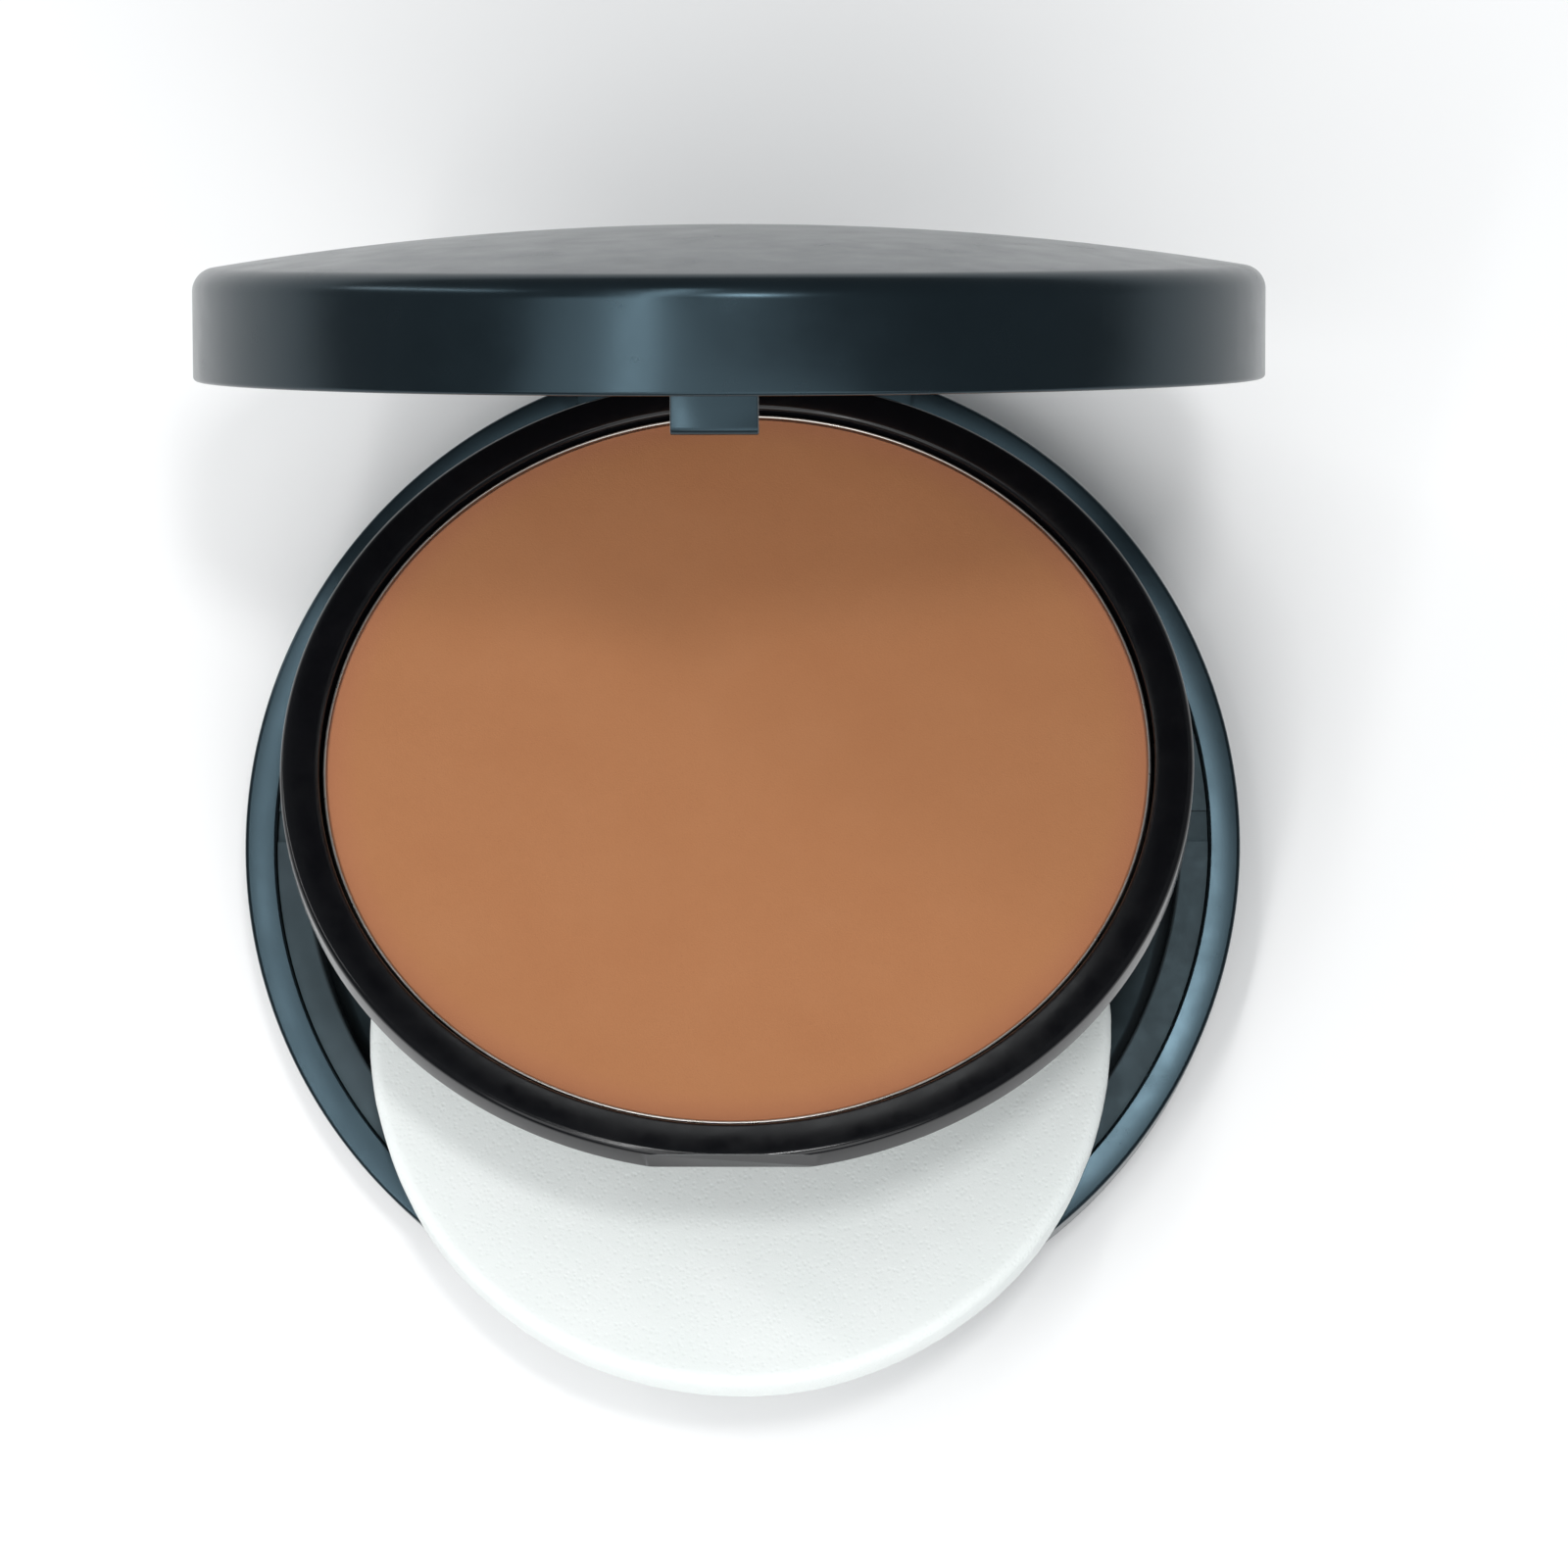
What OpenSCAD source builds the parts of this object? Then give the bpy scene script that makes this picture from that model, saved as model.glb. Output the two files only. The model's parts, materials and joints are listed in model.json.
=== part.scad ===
// Round powder compact with a sponge compartment under a lifting powder tray.
// Millimetres. The origin is the centre of the base's resting face, +Z is up,
// -Y is the front with the latch and +Y is the back with the hinge.

/* [Case] */
// Outside diameter of the base and the lid
case_d = 76; // [74:0.5:80]
// Height of the base from its resting face to its rim
base_h = 9; // [9:0.5:12]
// Radial width of the base's flat rim band
rim_w = 2.4; // [2.2:0.1:2.6]
// Thickness of the base's floor
base_floor_t = 1; // [0.8:0.1:1.2]
// Radius of the rounded edge round the base's underside
foot_round = 1.4; // [0.8:0.1:2]

/* [Sponge compartment] */
// Radius of the compartment
well_r = 33.4; // [33:0.1:33.6]
// How far the compartment's centre lies behind the case's centre
well_y = 0.4; // [0:0.1:0.6]
// Thickness of the liner's walls and floor
liner_t = 0.8; // [0.6:0.1:0.9]
// Depth of the tray ledge below the rim
ledge_drop = 0.6; // [0.5:0.1:0.8]

/* [Hinge] */
// Distance of the hinge axis in front of the back of the case
hinge_inset = 0.8; // [0.6:0.1:1]
// Radius of the hinge barrels
barrel_r = 1.45; // [1.3:0.05:1.5]
// Radius of the steel hinge pin
pin_r = 0.6; // [0.5:0.05:0.7]
// Half of the length of the hinge pin
pin_half = 12.5; // [12:0.1:12.7]

/* [Tray] */
// Outside radius of the tray's ring
tray_r = 33.8; // [33.6:0.1:33.9]
// How far the tray's centre lies behind the case's centre
tray_y = 1; // [0.9:0.1:1.1]
// Height of the tray's ring
tray_ring_h = 2.3; // [2.2:0.1:2.5]
// How far the tray is lifted from closed, in degrees
tray_angle = 22.3; // [0:0.1:40]

/* [Powder] */
// Outside radius of the powder pan
pan_r = 30.65; // [30:0.05:30.7]
// Height of the powder pan
pan_h = 2.8; // [2.6:0.1:2.9]
// Wall thickness of the powder pan
pan_t = 0.4; // [0.3:0.1:0.5]

/* [Lid] */
// Height of the lid's side, from its open edge to the edge of the dome
lid_side_h = 8; // [7.5:0.5:10]
// How far the dome rises above its edge
dome_rise = 2.9; // [2:0.1:4]
// Radius of the lid's rounded shoulder
lid_round = 1.7; // [1:0.1:2.5]
// Wall thickness of the lid
lid_t = 1.5; // [1.3:0.1:1.6]
// Radius of the mirror
mirror_r = 30.4; // [28:0.1:31]
// How far the lid is opened from the tray, in degrees
lid_angle = 53.4; // [0:0.1:90]

/* [Latch] */
// Width of the hook
hook_w = 5.8; // [5:0.1:6.2]
// How far the hook hangs below the lid's open edge
hook_drop = 2.65; // [2.4:0.05:2.7]
// Width of the push button
button_w = 12; // [11:0.5:12]
// How far the push button moves inwards
button_travel = 0.8; // [0.5:0.1:0.8]

/* [Sponge] */
// Radius of the sponge
sponge_r = 28.1; // [26:0.1:29]
// Thickness of the sponge
sponge_t = 4.6; // [3.5:0.1:4.6]
// How far the sponge's centre is pulled forward
sponge_out = 15.4; // [15:0.1:15.8]
// How far the sponge's front edge is tipped up, in degrees
sponge_tip = 12; // [12:0.1:14]

/* [Hidden] */
$fn = 120;
fine = 240;
eps = 0.01;
case_r = case_d / 2;
rim_in = case_r - rim_w;
gap = 0.1;
// Size of the small chamfers on the rims
edge = 0.3;

// Heights, from the resting face up
liner_z = base_floor_t + 0.05;
well_floor = liner_z + liner_t;
ledge_z = base_h - ledge_drop;
ring_z = ledge_z + gap;
tray_top = ring_z + tray_ring_h;
pan_top = tray_top - 0.6;
pan_z = pan_top - pan_h;
glue_t = 0.15;
tray_floor = pan_z - glue_t;
tray_floor_t = 0.7;
lid_z = base_h + gap;

// Hinge axis and the spans of its knuckles along X
hinge_y = case_r - hinge_inset;
hinge_z = base_h;
tray_knuckle = 4.8;
lid_knuckle = [5, 9.1];
base_knuckle = [9.3, 12.7];
hinge_half = 12.9;
notch_down = 2;
notch_up = 2.7;

// Tray
tray_well_r = pan_r + 0.25;
tray_wall_t = 0.6;
facet_y = tray_y - tray_r + 0.55;
eject_r = 3;

// Lid
dome_edge_r = case_r - lid_round;
dome_r = (pow(dome_edge_r, 2) + pow(dome_rise, 2)) / (2 * dome_rise);
dome_z = lid_side_h + dome_rise - dome_r;
shoulder_z = dome_z + sqrt(pow(dome_r - lid_round, 2) - pow(dome_edge_r, 2));
frame_r = case_r - lid_t - 0.2;
frame_z = 2.5;
mirror_z = frame_z + 0.2;
glass_t = 1;
tape_t = 0.2;
frame_top = mirror_z + glass_t + tape_t + 0.9;

// Latch: the hook's faces along Y, and the slider behind it
hook_front = -(rim_in - 0.4);
hook_t = 1;
barb = 0.5;
barb_h = 0.65;
hook_bottom = lid_z - hook_drop;
bar_front = hook_front + hook_t + barb + gap;
bar_t = 0.8;
bar_z = hook_bottom + barb_h + 0.15;
button_low = 3.4;
button_high = base_h - 2;
flange_top = hook_bottom - 0.25;
pocket_half = button_w / 2 + 1.5;
pocket_back = bar_front + bar_t + button_travel + 0.3;

label_r = 24;
label_t = 0.15;

// A box given by its lowest and highest corners
module box(low, high) translate(low) cube(high - low);

// A cylinder along Z between two heights
module disc(r, z0, z1, n = fine) translate([0, 0, z0]) cylinder(r = r, h = z1 - z0, $fn = n);

// A rod along X between two places, on the hinge axis
module axle(r, x0, x1)
    translate([x0, hinge_y, hinge_z]) rotate([0, 90, 0]) cylinder(r = r, h = x1 - x0, $fn = 48);

// A copy on each side of the middle plane
module both_sides() {
    children();
    mirror([1, 0, 0]) children();
}

// A rectangle with round corners
module round_rect(low, high, r) {
    translate([low.x + r, low.y]) square([high.x - low.x - 2 * r, high.y - low.y]);
    translate([low.x, low.y + r]) square([high.x - low.x, high.y - low.y - 2 * r]);
    for (x = [low.x + r, high.x - r], y = [low.y + r, high.y - r])
        translate([x, y]) circle(r, $fn = 32);
}

// Turns a part about the hinge axis, front edge up
module lifted(angle)
    translate([0, hinge_y, hinge_z]) rotate([-angle, 0, 0]) translate([0, -hinge_y, -hinge_z]) children();

// ---------------------------------------------------------------- base

module base_cup() rotate_extrude($fn = fine) difference() {
    union() {
        square([case_r - foot_round, base_floor_t + 1]);
        translate([case_r - foot_round, foot_round]) circle(foot_round, $fn = 48);
        polygon([[rim_in - 1, foot_round], [case_r, foot_round], [case_r, base_h - edge],
                 [case_r - edge, base_h], [rim_in + edge / 2, base_h], [rim_in - 1, base_h - edge - 1]]);
    }
    translate([-eps, base_floor_t]) square([rim_in + eps, base_h]);
}

module base_shell() color([0.06, 0.08, 0.1]) difference() {
    union() {
        difference() {
            base_cup();
            box([-hinge_half, rim_in - 2.6, hinge_z - notch_down], [hinge_half, case_r + 2, base_h + 1]);
        }
        both_sides() {
            axle(barrel_r, base_knuckle[0], base_knuckle[1]);
            intersection() {
                box([base_knuckle[0], hinge_y - 1.3, hinge_z - 3], [base_knuckle[1], case_r, hinge_z]);
                disc(case_r - 0.05, 0, base_h + 1);
            }
        }
    }
    axle(pin_r + 0.01, -base_knuckle[1] - 0.1, base_knuckle[1] + 0.1);
    box([-button_w / 2 - 0.2, -case_r - 1, button_low - 0.2], [button_w / 2 + 0.2, -rim_in + 3, button_high + 0.2]);
    disc(label_r + 0.1, -1, label_t + 0.05);
}

module base_liner() color([0.02, 0.02, 0.025]) difference() {
    union() {
        translate([0, well_y, 0]) difference() {
            disc(well_r + liner_t, liner_z, ledge_z);
            disc(well_r, well_floor, ledge_z + 1);
        }
        difference() {
            disc(rim_in - 0.05, ledge_z - liner_t, ledge_z);
            translate([0, well_y, 0]) disc(well_r, 0, base_h);
        }
        intersection() {
            box([-pocket_half - liner_t, -case_r, liner_z], [pocket_half + liner_t, pocket_back + liner_t, ledge_z]);
            translate([0, well_y, 0]) disc(well_r + 0.4, 0, base_h);
        }
    }
    box([-pocket_half, -case_r, well_floor], [pocket_half, pocket_back, ledge_z - liner_t]);
    box([-button_w / 2 + 0.1, -rim_in, well_floor], [button_w / 2 - 0.1, pocket_back - 0.1, base_h]);
    both_sides() box([well_r + 0.5, 0, ledge_z - 0.4], [rim_in, 2.4, base_h]);
}

module base_label() color([0.1, 0.1, 0.11]) disc(label_r, 0, label_t);

module hinge_pin() color([0.75, 0.75, 0.78]) axle(pin_r, -pin_half, pin_half);

// ---------------------------------------------------------------- push button

module push_button() color([0.06, 0.08, 0.1]) {
    half = button_w / 2;
    difference() {
        intersection() {
            disc(case_r + 0.5, button_low, button_high);
            box([-half, -case_r - 1, 0], [half, 0, base_h]);
        }
        disc(case_r - 1.7, 0, base_h);
    }
    difference() {
        intersection() {
            disc(case_r - 1, button_low, flange_top);
            box([-half, -case_r, 0], [half, 0, base_h]);
        }
        disc(rim_in - 1, 0, base_h);
    }
    difference() {
        intersection() {
            disc(rim_in - 0.2, button_low - 0.8, flange_top);
            box([-half - 1.2, -case_r, 0], [half + 1.2, 0, base_h]);
        }
        disc(rim_in - 1, 0, base_h);
    }
    both_sides() {
        box([half - 1.6, -rim_in + 0.8, button_low], [half - 0.4, bar_front + bar_t, flange_top]);
        box([half - 1.6, bar_front, button_low], [half - 0.4, bar_front + bar_t, bar_z + bar_t]);
    }
    box([-half + 0.4, bar_front, bar_z], [half - 0.4, bar_front + bar_t, bar_z + bar_t]);
}

// Coil spring between the button and the pocket's wall: a wire swept along a helix
coil_r = 1.05;
wire_r = 0.14;
coil_turns = 4;
coil_steps = 16;
wire_sides = 8;
coil_y0 = -rim_in + 1.05 + wire_r;
coil_y1 = pocket_back - 0.05 - wire_r;
coil_z = 4.7;

function coil_point(i, j) =
    let (a = 360 * i / coil_steps, b = 360 * j / wire_sides, r = coil_r + wire_r * cos(b))
    [r * cos(a), coil_y0 + (coil_y1 - coil_y0) * i / (coil_turns * coil_steps) + wire_r * sin(b), coil_z + r * sin(a)];

module button_spring() color([0.7, 0.7, 0.73]) {
    last = coil_turns * coil_steps;
    points = [for (i = [0:last], j = [0:wire_sides - 1]) coil_point(i, j)];
    sides = [for (i = [0:last - 1], j = [0:wire_sides - 1])
        let (k = (j + 1) % wire_sides)
        [i * wire_sides + j, i * wire_sides + k, (i + 1) * wire_sides + k, (i + 1) * wire_sides + j]];
    ends = [[for (j = [wire_sides - 1:-1:0]) j], [for (j = [0:wire_sides - 1]) last * wire_sides + j]];
    polyhedron(points, concat(sides, ends), convexity = 6);
}

// ---------------------------------------------------------------- tray

module tray_ring() translate([0, tray_y, 0]) rotate_extrude($fn = fine) difference() {
    union() {
        round_rect([tray_well_r, ring_z], [tray_r, tray_top], 0.45);
        translate([tray_well_r, tray_floor - tray_floor_t])
            square([tray_wall_t, tray_top - tray_floor + tray_floor_t - 0.45]);
        translate([eject_r, tray_floor - tray_floor_t]) square([tray_well_r - eject_r + eps, tray_floor_t]);
        translate([tray_well_r, ring_z]) square([tray_r - tray_well_r, 0.6]);
    }
    translate([tray_well_r + 1.1, ring_z - 1]) square([tray_r - tray_well_r - 1.8, tray_ring_h + 0.2]);
}

module tray_frame() color([0.02, 0.02, 0.025]) lifted(tray_angle) difference() {
    union() {
        tray_ring();
        axle(barrel_r, -tray_knuckle, tray_knuckle);
        box([-tray_knuckle, tray_y + tray_r - 0.6, ring_z], [tray_knuckle, hinge_y, hinge_z + barrel_r - 0.1]);
    }
    axle(pin_r + 0.05, -tray_knuckle - 1, tray_knuckle + 1);
    box([-case_r, -case_r, 0], [case_r, facet_y, tray_top + 1]);
}

module powder_pan() color([0.75, 0.75, 0.76]) lifted(tray_angle) translate([0, tray_y, pan_z])
    rotate_extrude($fn = fine) {
        square([pan_r - pan_t / 2, pan_t]);
        round_rect([pan_r - pan_t, 0], [pan_r, pan_h], pan_t * 0.45);
    }

module powder_cake() color([0.67, 0.42, 0.27]) lifted(tray_angle) translate([0, tray_y, 0])
    disc(pan_r - pan_t - 0.02, pan_z + pan_t + 0.02, pan_top - 0.1);

module pan_adhesive() color([0.9, 0.88, 0.8]) lifted(tray_angle) translate([0, tray_y, 0]) difference() {
    disc(tray_well_r - 8, tray_floor + 0.01, pan_z - 0.01);
    disc(eject_r + 6, 0, base_h + 2);
}

// ---------------------------------------------------------------- lid

// Puts a piece drawn from the lid's open edge up in its place
module on_lid() lifted(tray_angle + lid_angle) translate([0, 0, lid_z]) children();

module lid_cap() rotate_extrude($fn = fine) difference() {
    union() {
        intersection() {
            translate([0, dome_z]) circle(dome_r, $fn = 720);
            square([dome_edge_r * dome_r / (dome_r - lid_round), lid_side_h + dome_rise + 1]);
        }
        polygon([[0, 0], [case_r - edge, 0], [case_r, edge], [case_r, shoulder_z], [0, shoulder_z]]);
        translate([dome_edge_r, shoulder_z]) circle(lid_round, $fn = 64);
    }
    intersection() {
        translate([0, dome_z]) circle(dome_r - lid_t, $fn = 720);
        translate([-eps, -1]) square([case_r - lid_t + eps, lid_side_h + dome_rise + 2]);
    }
}

module lid_knuckles() both_sides() {
    span = lid_knuckle[1] - lid_knuckle[0];
    translate([lid_knuckle[0], hinge_y, hinge_z - lid_z]) rotate([0, 90, 0])
        cylinder(r = barrel_r, h = span, $fn = 48);
    intersection() {
        box([lid_knuckle[0], hinge_y - 1.2, hinge_z - lid_z], [lid_knuckle[1], case_r + 1, notch_up + 1]);
        disc(case_r - 0.05, -1, notch_up + 1);
    }
}

module latch_hook() {
    half = hook_w / 2;
    difference() {
        union() {
            box([-half, hook_front, -hook_drop], [half, hook_front + hook_t, frame_z - 0.1]);
            box([-half, hook_front, -hook_drop], [half, hook_front + hook_t + barb, barb_h - hook_drop]);
            box([-half, -case_r + lid_t - 0.3, 0.35], [half, hook_front + hook_t, frame_z - 0.1]);
        }
        for (x = [-half, half]) translate([x, hook_front, -hook_drop]) rotate([0, 0, 45])
            cube([0.5, 0.5, 3 * hook_drop], center = true);
        translate([0, hook_front, -hook_drop]) rotate([45, 0, 0]) cube([hook_w + 1, 0.7, 0.7], center = true);
        translate([0, hook_front + hook_t + barb, -hook_drop]) rotate([45, 0, 0])
            cube([hook_w + 1, 0.4, 0.4], center = true);
    }
}

module lid_shell() color([0.07, 0.1, 0.12]) on_lid() difference() {
    union() {
        difference() {
            lid_cap();
            box([-hinge_half, rim_in - 2.6, -1], [hinge_half, case_r + 1, notch_up]);
        }
        lid_knuckles();
        latch_hook();
    }
    translate([-lid_knuckle[1] - 0.1, hinge_y, hinge_z - lid_z]) rotate([0, 90, 0])
        cylinder(r = pin_r + 0.05, h = 2 * lid_knuckle[1] + 0.2, $fn = 48);
}

module mirror_frame() color([0.02, 0.02, 0.025]) on_lid() difference() {
    disc(frame_r, 0.5, frame_top);
    disc(frame_r - 1, 0, frame_z);
    disc(mirror_r + 0.1, 0, mirror_z + glass_t + tape_t + 0.02);
    box([-hinge_half - 0.3, frame_r - 4, -1], [hinge_half + 0.3, case_r, frame_z]);
    box([-hook_w / 2 - 0.4, -case_r, -1], [hook_w / 2 + 0.4, hook_front + hook_t + barb + 0.4, frame_z]);
}

module mirror_glass() color([0.8, 0.85, 0.88]) on_lid() disc(mirror_r, mirror_z, mirror_z + glass_t);

module mirror_tape() color([0.9, 0.9, 0.88]) on_lid()
    disc(mirror_r - 2, mirror_z + glass_t + 0.01, mirror_z + glass_t + tape_t - 0.01);

// ---------------------------------------------------------------- sponge

// The sponge leans on the compartment's front edge, its back edge on the floor
module sponge() color([0.93, 0.97, 0.96])
    translate([0, -sponge_out, well_floor + 0.1 + sponge_r * sin(sponge_tip)])
        rotate([-sponge_tip, 0, 0]) rotate_extrude($fn = fine) {
            square([sponge_r - 1, sponge_t]);
            round_rect([sponge_r - 4, 0], [sponge_r, sponge_t], 0.9);
        }

base_shell();
base_liner();
base_label();
hinge_pin();
push_button();
button_spring();
tray_frame();
powder_pan();
powder_cake();
pan_adhesive();
lid_shell();
mirror_frame();
mirror_glass();
mirror_tape();
sponge();
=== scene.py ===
"""Round powder compact, open: a sponge below, a powder tray above it and the lid with its mirror.
Metres, in the CAD frame: -Y is the front with the latch, +Y the back with the hinge."""
import json
import math

import bmesh
import bpy
from mathutils import Matrix, Vector, noise


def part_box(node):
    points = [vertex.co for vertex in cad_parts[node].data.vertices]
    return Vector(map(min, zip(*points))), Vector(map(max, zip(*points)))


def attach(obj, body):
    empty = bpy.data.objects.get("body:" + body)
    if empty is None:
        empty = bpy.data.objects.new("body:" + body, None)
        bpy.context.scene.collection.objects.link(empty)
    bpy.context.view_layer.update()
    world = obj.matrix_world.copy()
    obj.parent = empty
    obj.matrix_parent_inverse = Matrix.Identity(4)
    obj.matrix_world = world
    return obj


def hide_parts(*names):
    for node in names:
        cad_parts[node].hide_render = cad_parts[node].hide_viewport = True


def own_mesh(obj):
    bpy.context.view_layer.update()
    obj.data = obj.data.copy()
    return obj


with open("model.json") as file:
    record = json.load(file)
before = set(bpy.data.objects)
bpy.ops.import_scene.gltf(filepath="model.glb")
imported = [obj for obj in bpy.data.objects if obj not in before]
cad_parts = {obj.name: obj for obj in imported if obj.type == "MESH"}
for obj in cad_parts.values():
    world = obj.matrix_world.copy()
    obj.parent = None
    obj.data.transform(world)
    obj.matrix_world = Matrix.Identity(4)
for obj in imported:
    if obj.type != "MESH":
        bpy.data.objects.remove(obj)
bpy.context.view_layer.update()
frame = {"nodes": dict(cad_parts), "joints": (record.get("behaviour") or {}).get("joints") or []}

MM = 0.001
AROUND = 256                   # steps round a turned piece
ROD_STEPS = 48                 # steps round a rod
ARC_STEP = math.radians(10)    # the most that an arc turns between two points
SHARP = math.radians(32)       # edges that turn more than this stay crisp
WELD = 0.002                   # corners this close, in millimetres, become one
ON_AXIS = 1e-7                 # a point this close to a turned piece's axis is on it

# ------------------------------------------------------------------ places, from the frame

JOINTS = {j["name"]: j for j in frame["joints"]}
HINGE = Vector(JOINTS["tray_hinge"]["pos_m"])
TRAY_ANGLE = -math.radians(JOINTS["tray_hinge"]["range_deg"][0])
LID_ANGLE = TRAY_ANGLE - math.radians(JOINTS["lid_hinge"]["range_deg"][0])


def lifted(angle):
    """Turns a closed piece about the hinge axis, front edge up."""
    return Matrix.Translation(HINGE) @ Matrix.Rotation(-angle, 4, "X") @ Matrix.Translation(-HINGE)


def closed_box(node, angle=0.0):
    """Lowest and highest corner of a CAD node with its body turned back to closed."""
    back = lifted(angle).inverted()
    points = [back @ v.co for v in frame["nodes"][node].data.vertices]
    low = Vector([min(p[i] for p in points) for i in range(3)])
    high = Vector([max(p[i] for p in points) for i in range(3)])
    return low, high


GAP = 0.1 * MM
BASE_H = HINGE.z
LID_LOW, LID_HIGH = closed_box("lid_shell", LID_ANGLE)
LINER_LOW, LINER_HIGH = closed_box("base_liner")
TRAY_LOW, TRAY_HIGH = closed_box("tray_frame", TRAY_ANGLE)
PAN_LOW, PAN_HIGH = closed_box("powder_pan", TRAY_ANGLE)
CAKE_LOW, CAKE_HIGH = closed_box("powder_cake", TRAY_ANGLE)
FRAME_LOW, FRAME_HIGH = closed_box("mirror_frame", LID_ANGLE)
GLASS_LOW, GLASS_HIGH = closed_box("mirror_glass", LID_ANGLE)
BUTTON_LOW, BUTTON_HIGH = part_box("push_button")
LABEL_LOW, LABEL_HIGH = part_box("base_label")
SPRING_LOW, SPRING_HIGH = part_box("button_spring")
SPONGE_LOW, SPONGE_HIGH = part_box("sponge")

CASE_R = LID_HIGH.x
LID_Z = BASE_H + GAP
TRAY_Y = (PAN_LOW.y + PAN_HIGH.y) / 2
TRAY_R = TRAY_HIGH.x

# ------------------------------------------------------------------ sizes the pieces need

EDGE = 0.3 * MM                # rounding of the rims' outer edges
BLOCK_EDGE = 0.12 * MM         # rounding of small blocks
PAST = 0.1 * MM                # how far a bore goes past its knuckle
RIM_W = 2.4 * MM
RIM_SLOPE = 0.08 * MM          # how far the rim band falls to its outer edge
RIM_IN = CASE_R - RIM_W
FLOOR_T = 1.0 * MM
FOOT_ROUND = 1.4 * MM
PAN_WALL = 0.22 * MM

WELL_R = 33.4 * MM             # the compartment, its middle a little behind the case's
WELL_Y = 0.4 * MM
WALL_T = 0.8 * MM
RING_LOW = 0.1 * MM + LINER_HIGH.z

BARREL_R = 1.45 * MM           # the hinge: tray knuckle in the middle, then the lid's, then the base's
BARREL_EDGE = 0.15 * MM
PIN_R = 0.6 * MM
PIN_GAP = 0.05 * MM
TRAY_KNUCKLE = 4.8 * MM
LID_KNUCKLE = (5.0 * MM, 9.1 * MM)
BASE_KNUCKLE = (9.3 * MM, 12.7 * MM)
NOTCH_HALF = 12.9 * MM

PAD_LOW = BUTTON_LOW.z + 0.8 * MM    # the button's pad, and the gap round it
PAD_TOP = BASE_H - 2 * MM
PAD_GAP = 0.2 * MM

LID_ROUND = 1.7 * MM
LID_SIDE = 8.0 * MM
LID_T = 1.5 * MM
DOME_RISE = LID_HIGH.z - LID_Z - LID_SIDE
HOOK_HALF = 2.9 * MM
HOOK_FRONT = -(RIM_IN - 0.4 * MM)
HOOK_T = 1.0 * MM
BARB = 0.5 * MM

SPONGE_T = 4.6 * MM
SPONGE_R = SPONGE_HIGH.x
SPONGE_TIP = math.radians(12)

# Turns a prism so that its plan's x and y run along y and z, and its height along x
ALONG_X = Matrix(((0, 0, 1, 0), (1, 0, 0, 0), (0, 1, 0, 0), (0, 0, 0, 1)))

# ------------------------------------------------------------------ mesh tools


def rounded(corners):
    """An outline from (x, y, radius) corners, with an arc at each corner that has a radius."""
    points = []
    count = len(corners)
    for i, (x, y, radius) in enumerate(corners):
        here = Vector((x, y))
        if radius <= 0:
            points.append(here)
            continue
        before = (Vector(corners[i - 1][:2]) - here).normalized()
        after = (Vector(corners[(i + 1) % count][:2]) - here).normalized()
        opening = before.angle(after)
        reach = radius / math.tan(opening / 2)
        centre = here + (before + after).normalized() * radius / math.sin(opening / 2)
        start = here + before * reach - centre
        end = here + after * reach - centre
        turn = start.angle_signed(end)
        steps = max(2, math.ceil(abs(turn) / ARC_STEP))
        for k in range(steps + 1):
            points.append(centre + Matrix.Rotation(-turn * k / steps, 2) @ start)
    return points


def arc(centre, radius, start, end, steps):
    """Points on an arc between two angles in degrees."""
    angles = [math.radians(start + (end - start) * k / steps) for k in range(steps + 1)]
    return [Vector((centre[0] + radius * math.cos(a), centre[1] + radius * math.sin(a))) for a in angles]


def make(name, bm):
    """An object from a bmesh, its faces outwards."""
    bmesh.ops.recalc_face_normals(bm, faces=bm.faces)
    mesh = bpy.data.meshes.new(name)
    bm.to_mesh(mesh)
    bm.free()
    piece = bpy.data.objects.new(name, mesh)
    bpy.context.collection.objects.link(piece)
    return piece


def turned(name, outline, closed=True, centre_y=0.0, steps=AROUND):
    """A solid turned about the Z axis from an outline of (radius, height) points."""
    bm = bmesh.new()
    rings = []
    for point in outline:
        if point[0] < ON_AXIS:
            rings.append([bm.verts.new((0, centre_y, point[1]))])
            continue
        ring = []
        for k in range(steps):
            a = math.tau * k / steps
            ring.append(bm.verts.new((point[0] * math.cos(a), centre_y + point[0] * math.sin(a), point[1])))
        rings.append(ring)
    pairs = list(zip(rings, rings[1:] + rings[:1] if closed else rings[1:]))
    for lower, upper in pairs:
        for k in range(steps):
            n = (k + 1) % steps
            corners = [lower[k % len(lower)], lower[n % len(lower)]]
            corners += [upper[n % len(upper)], upper[k % len(upper)]]
            corners = list(dict.fromkeys(corners))
            if len(corners) > 2:
                bm.faces.new(corners)
    return make(name, bm)


def disc(name, radius, height, centre_y=0.0):
    """A plain cylinder standing on z = 0, to cut with or to keep a piece inside."""
    outline = [(0, 0), (radius, 0), (radius, height), (0, height)]
    return turned(name, outline, closed=False, centre_y=centre_y)


def prism(name, outline, low, high, turn=None):
    """A solid with a plan outline between two heights, turned by a matrix if one is given."""
    bm = bmesh.new()
    bottom = [bm.verts.new((p[0], p[1], low)) for p in outline]
    top = [bm.verts.new((p[0], p[1], high)) for p in outline]
    bm.faces.new(bottom)
    bm.faces.new(top)
    for k in range(len(outline)):
        n = (k + 1) % len(outline)
        bm.faces.new([bottom[k], bottom[n], top[n], top[k]])
    if turn:
        bmesh.ops.transform(bm, matrix=turn, verts=bm.verts)
    return make(name, bm)


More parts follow.
